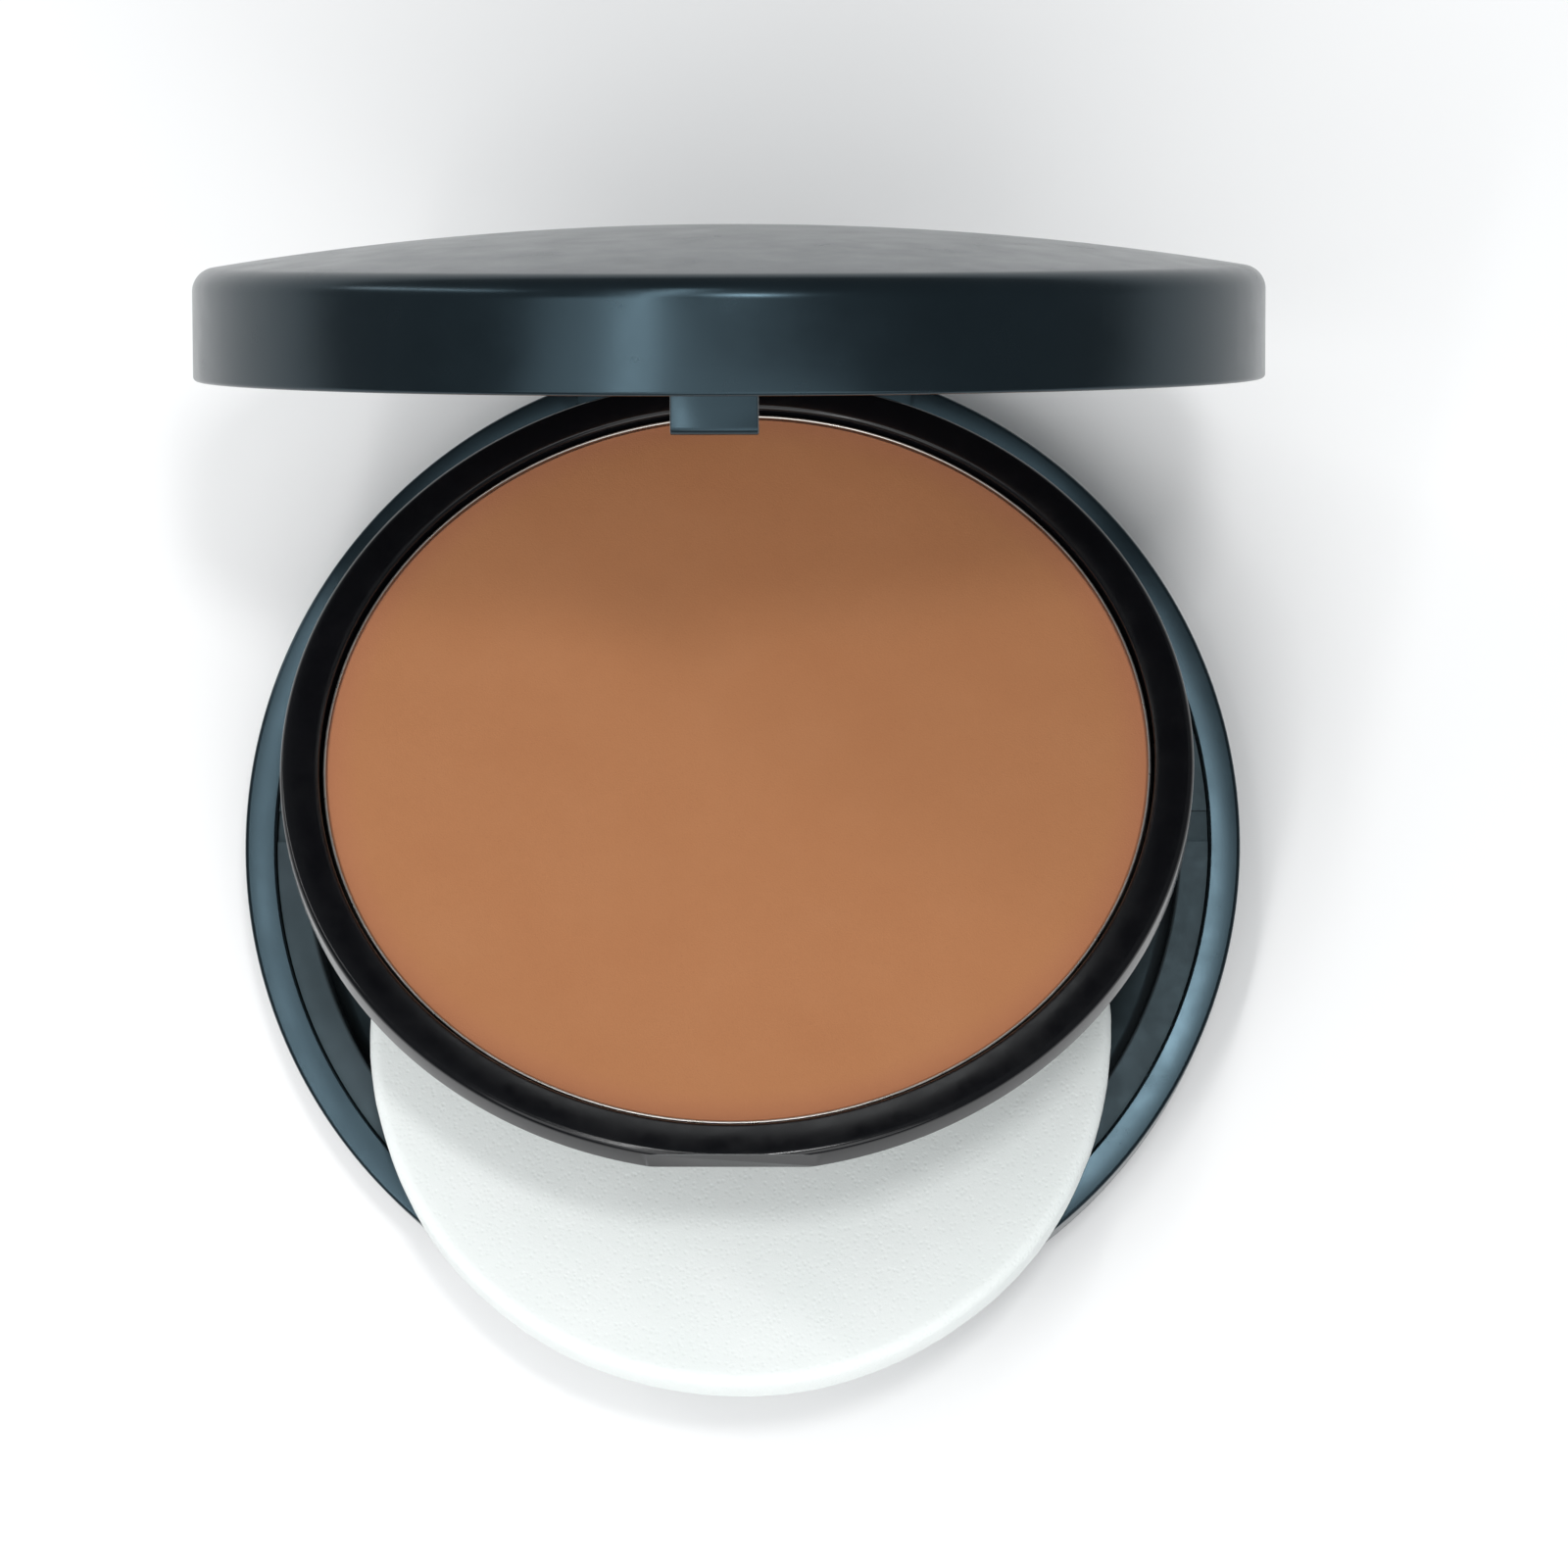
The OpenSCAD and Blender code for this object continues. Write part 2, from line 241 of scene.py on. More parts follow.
def block(name, low, high, bevel=0.0):
    """A block with rounded edges between two corners."""
    bm = bmesh.new()
    bmesh.ops.create_cube(bm, size=1)
    for v in bm.verts:
        v.co = Vector([low[i] if v.co[i] < 0 else high[i] for i in range(3)])
    if bevel:
        bmesh.ops.bevel(bm, geom=bm.edges, offset=bevel, segments=3, profile=0.5, affect="EDGES")
    return make(name, bm)


def axle(name, radius, x0, x1, edge=0.0):
    """A rod along the hinge axis with rounded ends."""
    outline = rounded([(0, x0, 0), (radius, x0, edge), (radius, x1, edge), (0, x1, 0)])
    rod = turned(name, outline, closed=False, steps=ROD_STEPS)
    to_axis = Matrix.Translation(HINGE) @ Matrix.Rotation(math.radians(90), 4, "Y")
    rod.data.transform(to_axis)
    return rod


def rescale(solids, factor):
    """Scales the meshes about the origin."""
    for solid in solids:
        solid.data.transform(Matrix.Scale(factor, 4))


def combine(piece, *others, how="DIFFERENCE"):
    """Joins others to a piece or cuts them from it, and removes them; also applies the piece's bevel.
    It works in millimetres, which the exact solver needs."""
    rescale((piece, *others), 1 / MM)
    for modifier in piece.modifiers:
        modifier.width /= MM
    for other in others:
        step = piece.modifiers.new("combine", "BOOLEAN")
        step.solver = "EXACT"
        step.operation = how
        step.object = other
    bpy.context.view_layer.update()
    evaluated = piece.evaluated_get(bpy.context.evaluated_depsgraph_get())
    bm = bmesh.new()
    bm.from_mesh(bpy.data.meshes.new_from_object(evaluated))
    bmesh.ops.remove_doubles(bm, verts=bm.verts, dist=WELD)
    bmesh.ops.dissolve_degenerate(bm, dist=WELD, edges=bm.edges)
    piece.modifiers.clear()
    bm.to_mesh(piece.data)
    bm.free()
    rescale([piece], MM)
    for other in others:
        bpy.data.objects.remove(other)
    return piece


def cut(piece, *others):
    """Takes the others away from a piece."""
    return combine(piece, *others, how="DIFFERENCE")


def add(piece, *others):
    """Joins the others to a piece."""
    return combine(piece, *others, how="UNION")


def softened(piece, width, segments, angle):
    """Rounds the edges that turn more than an angle in degrees."""
    edge = piece.modifiers.new("edge", "BEVEL")
    edge.width = width
    edge.segments = segments
    edge.limit_method = "ANGLE"
    edge.angle_limit = math.radians(angle)
    return combine(piece)


def place(piece, material, body, nodes, matrix=None):
    """Puts a finished piece in its place, with its material and body, and hides the CAD nodes that it
    stands for.
    """
    if matrix:
        piece.data.transform(matrix)
    piece.data.materials.clear()
    piece.data.materials.append(material)
    for face in piece.data.polygons:
        face.use_smooth = True
    piece.data.set_sharp_from_angle(angle=SHARP)
    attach(piece, body)
    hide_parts(*nodes)


# ------------------------------------------------------------------ material tools


class Finish:
    """A node material under construction."""

    def __init__(self, name, colour, roughness, metallic=0.0):
        self.material = bpy.data.materials.new(name)
        self.material.use_nodes = True
        self.nodes = self.material.node_tree.nodes
        self.links = self.material.node_tree.links
        self.shader = self.nodes["Principled BSDF"]
        self.shader.inputs["Base Color"].default_value = (*colour, 1)
        self.shader.inputs["Roughness"].default_value = roughness
        self.shader.inputs["Metallic"].default_value = metallic
        self.coords = self.nodes.new("ShaderNodeTexCoord").outputs["Object"]

    def stretched(self, scale):
        """Object coordinates scaled along each axis; a small factor draws a pattern out."""
        mapping = self.nodes.new("ShaderNodeMapping")
        mapping.inputs["Scale"].default_value = scale
        self.links.new(self.coords, mapping.inputs["Vector"])
        return mapping.outputs["Vector"]

    def noise(self, size, detail=3.0, roughness=0.5, vector=None):
        """Noise whose features are about size metres across."""
        node = self.nodes.new("ShaderNodeTexNoise")
        node.inputs["Scale"].default_value = 1 / size
        node.inputs["Detail"].default_value = detail
        node.inputs["Roughness"].default_value = roughness
        self.links.new(vector or self.coords, node.inputs["Vector"])
        return node.outputs["Fac"]

    def cells(self, size):
        """Distance to the nearest of scattered points about size metres apart."""
        node = self.nodes.new("ShaderNodeTexVoronoi")
        node.inputs["Scale"].default_value = 1 / size
        self.links.new(self.coords, node.inputs["Vector"])
        return node.outputs["Distance"]

    def attribute(self, name):
        """A number stored on the mesh's points."""
        node = self.nodes.new("ShaderNodeAttribute")
        node.attribute_name = name
        return node.outputs["Fac"]

    def span(self, value, low, high, to_low, to_high):
        """Maps a value from one range to another, clamped."""
        node = self.nodes.new("ShaderNodeMapRange")
        ends = {"From Min": low, "From Max": high, "To Min": to_low, "To Max": to_high}
        for socket, number in ends.items():
            node.inputs[socket].default_value = number
        self.links.new(value, node.inputs["Value"])
        return node.outputs["Result"]

    def maths(self, operation, a, b):
        """A sum on sockets or numbers."""
        node = self.nodes.new("ShaderNodeMath")
        node.operation = operation
        for socket, value in zip(node.inputs, (a, b)):
            if isinstance(value, (int, float)):
                socket.default_value = value
            else:
                self.links.new(value, socket)
        return node.outputs[0]

    def ramp(self, value, *stops):
        """Colours along a value, from (place, colour) stops."""
        node = self.nodes.new("ShaderNodeValToRGB")
        bar = node.color_ramp.elements
        while len(bar) < len(stops):
            bar.new(0.5)
        for element, (position, colour) in zip(bar, stops):
            element.position = position
            element.color = (*colour, 1)
        self.links.new(value, node.inputs["Fac"])
        return node.outputs["Color"]

    def blend(self, amount, first, second):
        """Mixes two colours, either of them a socket or a triple."""
        node = self.nodes.new("ShaderNodeMix")
        node.data_type = "RGBA"
        self.links.new(amount, node.inputs["Factor"])
        for socket, value in (("A", first), ("B", second)):
            target = [s for s in node.inputs if s.name == socket and s.type == "RGBA"][0]
            if isinstance(value, tuple):
                target.default_value = (*value, 1)
            else:
                self.links.new(value, target)
        return [s for s in node.outputs if s.type == "RGBA"][0]

    def bump(self, height, distance, strength, under=None):
        """Surface relief from a height, laid over another bump if one is given."""
        node = self.nodes.new("ShaderNodeBump")
        node.inputs["Distance"].default_value = distance
        node.inputs["Strength"].default_value = strength
        self.links.new(height, node.inputs["Height"])
        if under:
            self.links.new(under, node.inputs["Normal"])
        return node.outputs["Normal"]

    def set(self, **sockets):
        """Sets or links shader sockets, named with underscores for spaces."""
        for key, value in sockets.items():
            socket = self.shader.inputs[key.replace("_", " ")]
            if isinstance(value, bpy.types.NodeSocket):
                self.links.new(value, socket)
            else:
                socket.default_value = value


def soft_touch():
    """Blue-black soft-touch coating: a fine even grain with faint handling marks."""
    f = Finish("soft_touch_black", (0.0045, 0.0068, 0.0085), 0.34)
    cloud = f.noise(9 * MM, 3)
    grain = f.noise(0.15 * MM, 2, 0.6)
    f.set(
        Base_Color=f.ramp(cloud, (0.35, (0.0040, 0.0060, 0.0075)), (0.65, (0.0052, 0.0078, 0.0098))),
        Roughness=f.span(f.noise(4 * MM, 5, 0.6), 0.3, 0.7, 0.22, 0.28),
        Specular_Tint=(0.52, 0.82, 1.0, 1),
        Normal=f.bump(grain, 0.003 * MM, 0.3),
    )
    return f.material


def gloss_black():
    """Polished black moulding with hairline scuffs and a slightly wavy surface."""
    f = Finish("gloss_black", (0.0035, 0.0036, 0.0046), 0.16)
    hairlines = f.noise(0.5 * MM, 2, 0.5, f.stretched((1, 0.06, 1)))
    wave = f.noise(3.5 * MM, 2)
    f.set(
        Roughness=f.span(f.noise(2.5 * MM, 6, 0.7), 0.35, 0.7, 0.12, 0.24),
        Specular_IOR_Level=0.36,
        Normal=f.bump(hairlines, 0.002 * MM, 0.3, f.bump(wave, 0.01 * MM, 0.25)),
    )
    return f.material


def satin_black():
    """Fine-grained satin black of the compartment's liner."""
    f = Finish("satin_black", (0.016, 0.021, 0.023), 0.42)
    f.set(
        Base_Color=f.ramp(f.noise(6 * MM, 3), (0.35, (0.030, 0.038, 0.042)), (0.65, (0.038, 0.047, 0.053))),
        Roughness=f.span(f.noise(2 * MM, 5, 0.6), 0.3, 0.7, 0.36, 0.48),
        Specular_Tint=(0.55, 0.82, 0.95, 1),
        Specular_IOR_Level=0.32,
        Normal=f.bump(f.noise(0.12 * MM, 2, 0.6), 0.006 * MM, 0.4),
    )
    return f.material


def powder():
    """Pressed powder: fine grain, soft mottling and a rosier rim."""
    f = Finish("pressed_powder", (0.36, 0.155, 0.07), 0.82)
    mottle = f.ramp(
        f.noise(7 * MM, 4, 0.55),
        (0.3, (0.432, 0.176, 0.070)),
        (0.5, (0.440, 0.182, 0.073)),
        (0.7, (0.448, 0.188, 0.077)),
    )
    speck = f.span(f.noise(0.16 * MM, 2, 0.7), 0.58, 0.75, 0, 0.35)
    grained = f.blend(speck, mottle, (0.35, 0.135, 0.058))
    rim = f.span(f.attribute("out"), 0.92, 1.0, 0, 0.6)
    f.set(
        Base_Color=f.blend(rim, grained, (0.42, 0.154, 0.078)),
        Specular_IOR_Level=0.25,
        Sheen_Weight=0.12,
        Sheen_Roughness=0.6,
        Normal=f.bump(
            f.noise(0.14 * MM, 3, 0.65), 0.03 * MM, 0.7, f.bump(f.noise(1.8 * MM, 4, 0.6), 0.06 * MM, 0.3)
        ),
    )
    return f.material


def foam():
    """White sponge foam with small open pores."""
    f = Finish("white_foam", (0.86, 0.90, 0.885), 0.85)
    pores = f.cells(0.42 * MM)
    fine = f.noise(0.2 * MM, 3, 0.6)
    height = f.maths("ADD", f.span(pores, 0.0, 0.45, 0.0, 1.0), f.maths("MULTIPLY", fine, 0.6))
    f.set(
        Base_Color=f.ramp(
            f.noise(8 * MM, 3, 0.6), (0.3, (0.845, 0.885, 0.868)), (0.7, (0.875, 0.907, 0.893))
        ),
        Specular_IOR_Level=0.2,
        Subsurface_Weight=0.25,
        Subsurface_Radius=(1.0, 1.0, 1.0),
        Subsurface_Scale=0.8 * MM,
        Sheen_Weight=0.1,
        Normal=f.bump(height, 0.06 * MM, 0.45),
    )
    return f.material


def aluminium():
    """Drawn aluminium with fine lines along the draw."""
    f = Finish("pan_aluminium", (0.50, 0.48, 0.45), 0.36, 1.0)
    lines = f.noise(0.4 * MM, 3, 0.6, f.stretched((1, 1, 0.08)))
    f.set(
        Roughness=f.span(f.noise(1.5 * MM, 5, 0.6), 0.3, 0.7, 0.24, 0.4),
        Normal=f.bump(lines, 0.004 * MM, 0.4),
    )
    return f.material


def mirror():
    """Silvered glass with faint smears."""
    f = Finish("mirror", (0.90, 0.92, 0.92), 0.02, 1.0)
    f.set(Roughness=f.span(f.noise(9 * MM, 5, 0.65), 0.5, 0.8, 0.012, 0.05))
    return f.material


def steel():
    """Bright drawn wire and pin steel."""
    f = Finish("steel", (0.62, 0.62, 0.64), 0.28, 1.0)
    f.set(
        Roughness=f.span(f.noise(0.6 * MM, 4, 0.6), 0.3, 0.7, 0.2, 0.38),
        Normal=f.bump(f.noise(0.15 * MM, 2, 0.5, f.stretched((0.1, 1, 1))), 0.003 * MM, 0.4),
    )
    return f.material


def adhesive():
    """Milky double-sided tape with a fibrous look."""
    f = Finish("adhesive", (0.78, 0.76, 0.68), 0.5)
    f.set(
        Base_Color=f.ramp(f.noise(1.2 * MM, 5, 0.7), (0.35, (0.70, 0.68, 0.60)), (0.7, (0.84, 0.82, 0.75))),
        Normal=f.bump(f.noise(0.3 * MM, 4, 0.7), 0.02 * MM, 0.4),
    )
    return f.material


def label_film():
    """Satin black label with two thin pale rings and no lettering."""
    f = Finish("label_paper", (0.02, 0.022, 0.025), 0.45)
    split = f.nodes.new("ShaderNodeSeparateXYZ")
    f.links.new(f.coords, split.inputs["Vector"])
    squares = [f.maths("MULTIPLY", split.outputs[k], split.outputs[k]) for k in ("X", "Y")]
    radius = f.maths("POWER", f.maths("ADD", *squares), 0.5)
    rings = None
    for place_r in (0.94 * LABEL_HIGH.x, 0.90 * LABEL_HIGH.x):
        away = f.maths("ABSOLUTE", f.maths("SUBTRACT", radius, place_r), 0)
        ring = f.span(away, 0.08 * MM, 0.16 * MM, 1, 0)
        rings = f.maths("ADD", rings, ring) if rings else ring
    f.set(
        Base_Color=f.blend(rings, (0.018, 0.020, 0.023), (0.42, 0.44, 0.45)),
        Roughness=f.span(f.noise(3 * MM, 4), 0.3, 0.7, 0.38, 0.5),
        Normal=f.bump(f.noise(0.25 * MM, 3, 0.6), 0.008 * MM, 0.35),
    )
    return f.material


def floor_finish():
    """Matt white paper sweep."""
    f = Finish("floor", (0.96, 0.96, 0.96), 0.9)
    f.set(Specular_IOR_Level=0.1)
    return f.material


# ------------------------------------------------------------------ the base


def hinge_notch(low, high):
    """The gap at the back of a rim where the knuckles sit."""
    front, back = RIM_IN - 2.6 * MM, CASE_R + 3 * MM
    corner = 0.4 * MM
    outline = rounded([
        (-NOTCH_HALF, front, corner),
        (NOTCH_HALF, front, corner),
        (NOTCH_HALF, back, 0),
        (-NOTCH_HALF, back, 0),
    ])
    return prism("notch", outline, low, high)


def knuckle_pair(name, span, low, high, shelf_y):
    """Two barrels on the hinge axis, each with its block down or up to the rim."""
    parts = []
    for side in (-1, 1):
        x0, x1 = sorted((side * span[0], side * span[1]))
        shelf = block(name, (x0, shelf_y, low), (x1, CASE_R + MM, high), BLOCK_EDGE)
        inside = disc("inside", CASE_R - 0.05 * MM, 2 * BASE_H)
        parts.append(combine(shelf, inside, how="INTERSECT"))
        parts.append(axle(name, BARREL_R, x0, x1, BARREL_EDGE))
    return parts


def build_base_shell():
    """The outer cup: the label's seat below, the rim band, the hinge's blocks and the button's window."""
    seat_r = LABEL_HIGH.x + 0.1 * MM
    seat_z = 0.2 * MM
    outline = rounded([
        (0, seat_z, 0),
        (seat_r, seat_z, 0),
        (seat_r, 0, 0.05 * MM),
        (CASE_R, 0, FOOT_ROUND),
        (CASE_R, BASE_H - RIM_SLOPE, EDGE),
        (RIM_IN + 0.05 * MM, BASE_H, 0.18 * MM),
        (RIM_IN, BASE_H - 1.2 * MM, 0),
        (RIM_IN, FLOOR_T, 0),
        (0, FLOOR_T, 0),
    ])
    shell = turned("base_case", outline, closed=False)
    cut(shell, hinge_notch(BASE_H - 2 * MM, BASE_H + MM))
    shelf_low, shelf_y = BASE_H - 2.9 * MM, HINGE.y - 1.3 * MM
    add(shell, *knuckle_pair("base_knuckle", BASE_KNUCKLE, shelf_low, BASE_H, shelf_y))
    low, high = PAD_LOW - PAD_GAP, PAD_TOP + PAD_GAP
    half = 6.2 * MM
    corner = 0.6 * MM
    window = rounded([
        (-half, low, corner),
        (half, low, corner),
        (half, high, corner),
        (-half, high, corner),
    ])
    stand_up = Matrix.Rotation(math.radians(90), 4, "X")
    end = BASE_KNUCKLE[1] + PAST
    return cut(
        shell,
        axle("bore", PIN_R + 0.01 * MM, -end, end),
        prism("window", window, RIM_IN - 3 * MM, CASE_R + MM, stand_up),
    )


def build_liner():
    """The sponge's compartment, the ledge under the tray and the pocket behind the button."""
    floor = LINER_LOW.z + WALL_T
    top = LINER_HIGH.z
    pocket = 7.5 * MM
    pocket_back = -30.9 * MM
    slot = 5.9 * MM
    cup = turned("liner", rounded([
        (0, LINER_LOW.z, 0),
        (WELL_R + WALL_T, LINER_LOW.z, 0.5 * MM),
        (WELL_R + WALL_T, top, 0),
        (WELL_R, top, 0.2 * MM),
        (WELL_R, floor, 0.9 * MM),
        (0, floor, 0),
    ]), closed=False, centre_y=WELL_Y)
    ledge_in, ledge_out, under = WELL_R - MM, RIM_IN - 0.05 * MM, top - WALL_T
    ledge = turned("ledge", [(ledge_in, under), (ledge_out, under), (ledge_out, top), (ledge_in, top)])
    cut(ledge, disc("mouth", WELL_R + 0.3 * MM, BASE_H, WELL_Y))
    housing = block("housing", (-pocket - WALL_T, -CASE_R, LINER_LOW.z),
                    (pocket + WALL_T, pocket_back, top), 0.35 * MM)
    combine(housing, disc("round", WELL_R + 0.4 * MM, BASE_H, WELL_Y), how="INTERSECT")
    add(cup, ledge, housing)
    slider_room = block("slider_room", (-pocket, -CASE_R, floor),
                        (pocket, pocket_back - WALL_T, top - WALL_T))
    hook_slot = block("hook_slot", (-slot, -RIM_IN, floor),
                      (slot, pocket_back - WALL_T - 0.1 * MM, BASE_H), 0.25 * MM)
    notches = []
    for side in (-1, 1):
        x0, x1 = sorted((side * (WELL_R + 0.5 * MM), side * RIM_IN))
        notches.append(block("side_notch", (x0, 0, top - 0.4 * MM), (x1, 2.4 * MM, BASE_H)))
    return cut(cup, slider_room, hook_slot, *notches)


def sector(name, r0, r1, half, low, high, edge):
    """A block bounded by two arcs of the case, within half a width of the middle."""
    steps = 18
    outline = []
    for radius, order in ((r1, 1), (r0, -1)):
        reach = math.asin(half / radius)
        angles = [reach * (2 * k / steps - 1) * order for k in range(steps + 1)]
        outline += [(radius * math.sin(a), -radius * math.cos(a)) for a in angles]
    return softened(prism(name, outline, low, high), edge, 3, 40)


def build_button():
    """The pad outside the case, its flange, two arms and the catch bar, with fine grip lines."""
    half = BUTTON_HIGH.x - 1.2 * MM
    bar_half = half - 0.4 * MM
    arm_in = half - 1.6 * MM
    pad_r = CASE_R + 0.5 * MM
    flange_top = BUTTON_HIGH.z - 1.85 * MM
    bar_t = 0.8 * MM
    bar_front = BUTTON_HIGH.y - bar_t
    edge = 0.1 * MM
    inset = 0.1 * MM
    pad = sector("button", CASE_R - 1.7 * MM, pad_r, half, PAD_LOW, PAD_TOP, 0.35 * MM)
    web = sector("web", RIM_IN - 0.7 * MM, CASE_R - 1.2 * MM, bar_half, PAD_LOW + inset, flange_top, edge)
    flange = sector("flange", RIM_IN - MM, RIM_IN - 0.2 * MM, half + 1.2 * MM, BUTTON_LOW.z, flange_top,
                    0.15 * MM)
    parts = [web, flange]
    for side in (-1, 1):
        x0, x1 = sorted((side * arm_in, side * bar_half))
        parts.append(block("arm", (x0, -RIM_IN + 0.6 * MM, PAD_LOW + 0.05 * MM),
                           (x1, BUTTON_HIGH.y, flange_top - 0.05 * MM), edge))
        parts.append(block("post", (x0, bar_front, PAD_LOW + inset),
                           (x1, BUTTON_HIGH.y, BUTTON_HIGH.z), edge))
    parts.append(block("bar", (-bar_half, bar_front, BUTTON_HIGH.z - bar_t),
                       (bar_half, BUTTON_HIGH.y, BUTTON_HIGH.z), BLOCK_EDGE))
    add(pad, *parts)
    middle = (PAD_LOW + PAD_TOP) / 2
    pitch, half_line, depth = 0.55 * MM, 0.11 * MM, 0.12 * MM
    lines = []
    for k in (-1, 0, 1):
        z = middle + k * pitch
        lines.append(sector("grip", pad_r - depth, pad_r + MM, half - 1.2 * MM,
                            z - half_line, z + half_line, 0.05 * MM))
    return cut(pad, *lines)


def build_spring():
    """The return spring behind the button: a coil along Y with its end turns closed up."""
    turns, steps, sides = 4, 36, 12
    wire = 0.14 * MM
    flat = 0.6        # turns at each end that lie without rise
    middle = (SPRING_LOW + SPRING_HIGH) / 2
    radius = (SPRING_HIGH.x - SPRING_LOW.x) / 2 - wire
    travel = SPRING_HIGH.y - SPRING_LOW.y - 2 * wire
    bm = bmesh.new()
    rings = []
    for i in range(turns * steps + 1):
        rise = min(max((i / steps - flat) / (turns - 2 * flat), 0), 1)
        turn = Matrix.Rotation(math.tau * i / steps, 4, "Y")
        ring = []
        for k in range(sides):
            a = math.tau * k / sides
            spot = turn @ Vector((radius + wire * math.cos(a), wire * math.sin(a), 0))
            y = SPRING_LOW.y + wire + travel * rise
            ring.append(bm.verts.new((middle.x + spot.x, y + spot.y, middle.z + spot.z)))
        rings.append(ring)
    for one, two in zip(rings, rings[1:]):
        for k in range(sides):
            bm.faces.new((one[k], one[(k + 1) % sides], two[(k + 1) % sides], two[k]))
    bm.faces.new(rings[0])
    bm.faces.new(rings[-1])
    return make("spring", bm)


def press_spring(spring):
    """Gives the spring its own copy of its mesh; the coil stays as built."""
    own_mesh(spring)


# ------------------------------------------------------------------ the tray


def build_tray():
    """The ring round the pan, hollow below, with a push-out hole, its hinge arm and a flat in front."""
    inner = PAN_HIGH.x + 0.25 * MM
    wall = 0.6 * MM
    hole = 3 * MM
    floor_low = TRAY_LOW.z
    floor_high = floor_low + 0.7 * MM
    top = PAN_HIGH.z + 0.6 * MM
    hollow_in, hollow_out, hollow_top = inner + 1.1 * MM, TRAY_R - 0.7 * MM, top - 0.9 * MM
    ring = turned("tray", rounded([
        (hole, floor_low, 0.15 * MM),
        (inner + wall, floor_low, 0.35 * MM),
        (inner + wall, RING_LOW, 0.1 * MM),
        (hollow_in, RING_LOW, 0),
        (hollow_in, hollow_top, 0.15 * MM),
        (hollow_out, hollow_top, 0.15 * MM),
        (hollow_out, RING_LOW, 0),
        (TRAY_R, RING_LOW, 0.15 * MM),
        (TRAY_R, top, 0.45 * MM),
        (inner, top, 0.35 * MM),
        (inner, floor_high, 0.1 * MM),
        (hole, floor_high, 0.1 * MM),
    ]), centre_y=TRAY_Y)
    arm_top = HINGE.z + BARREL_R - 0.1 * MM
    arm = block("arm", (-TRAY_KNUCKLE, TRAY_Y + TRAY_R - 0.6 * MM, RING_LOW),
                (TRAY_KNUCKLE, HINGE.y, arm_top), 0.2 * MM)
    add(ring, axle("knuckle", BARREL_R, -TRAY_KNUCKLE, TRAY_KNUCKLE, BARREL_EDGE), arm)
    facet = TRAY_Y - TRAY_R + 0.55 * MM
    away = -CASE_R - MM
    front = [(away, 0), (facet, 0), (facet, top - 0.5 * MM), (facet - 0.5 * MM, top + MM), (away, top + MM)]
    return cut(
        ring,
        axle("bore", PIN_R + PIN_GAP, -TRAY_KNUCKLE - MM, TRAY_KNUCKLE + MM),
        prism("facet", front, -CASE_R / 2, CASE_R / 2, ALONG_X),
    )


def build_pan():
    """The thin pressed pan, its lip rounded."""
    wall = PAN_WALL
    floor = CAKE_LOW.z - 0.05 * MM
    radius, low, high = PAN_HIGH.x, PAN_LOW.z, PAN_HIGH.z
    return turned("pan", rounded([
        (0, low, 0),
        (radius, low, 0.35 * MM),
        (radius, high, wall * 0.45),
        (radius - wall, high, wall * 0.45),
        (radius - wall, floor, 0.2 * MM),
        (0, floor, 0),
    ]), closed=False, centre_y=TRAY_Y)


def build_cake():
    """The pressed powder, its face very slightly domed and its edge rounded over by pressing."""
    radius, low, high = PAN_HIGH.x - PAN_WALL - 0.01 * MM, CAKE_LOW.z, CAKE_HIGH.z
    dip = 0.1 * MM
    shoulder = 0.15 * MM
    steps = 40
    face = [Vector(((radius - shoulder) * (1 - k / steps), 0)) for k in range(steps + 1)]
    for p in face:
        p.y = high - 0.02 * MM - dip * (p.x / radius) ** 8
    outline = [Vector((0, low)), Vector((radius, low)), Vector((radius, high - 0.28 * MM))] + face
    cake = turned("powder", outline, closed=False, centre_y=TRAY_Y)
    unevenness, waves = 0.012 * MM, 420
    out = cake.data.attributes.new("out", "FLOAT", "POINT")
    for v in cake.data.vertices:
        away = math.hypot(v.co.x, v.co.y - TRAY_Y)
        out.data[v.index].value = away / radius
        if v.co.z > high - 0.3 * MM and away > MM:
            v.co.z += unevenness * noise.noise(v.co * waves)
    return cake


# ------------------------------------------------------------------ the lid


def lid_outline():
    """Outside and inside of the lid as one closed line, from its top to the middle inside."""
    edge_r = CASE_R - LID_ROUND
    dome_r = (edge_r ** 2 + DOME_RISE ** 2) / (2 * DOME_RISE)
    dome_z = LID_SIDE + DOME_RISE - dome_r
    shoulder_z = dome_z + math.sqrt((dome_r - LID_ROUND) ** 2 - edge_r ** 2)
    tip = math.degrees(math.asin(edge_r / (dome_r - LID_ROUND)))
    line = arc((0, dome_z), dome_r, 90, 90 - tip, 30)
    line += arc((edge_r, shoulder_z), LID_ROUND, 90 - tip, 0, 14)[1:]
    inside_r = CASE_R - LID_T
    line += rounded([(CASE_R, 2 * MM, 0), (CASE_R, 0, EDGE), (inside_r, 0, 0.2 * MM), (inside_r, MM, 0)])
    inner_tip = math.degrees(math.asin(inside_r / (dome_r - LID_T)))
    line += arc((0, dome_z), dome_r - LID_T, 90 - inner_tip, 90, 16)
    line[0].x = 0
    line[-1].x = 0
    return line


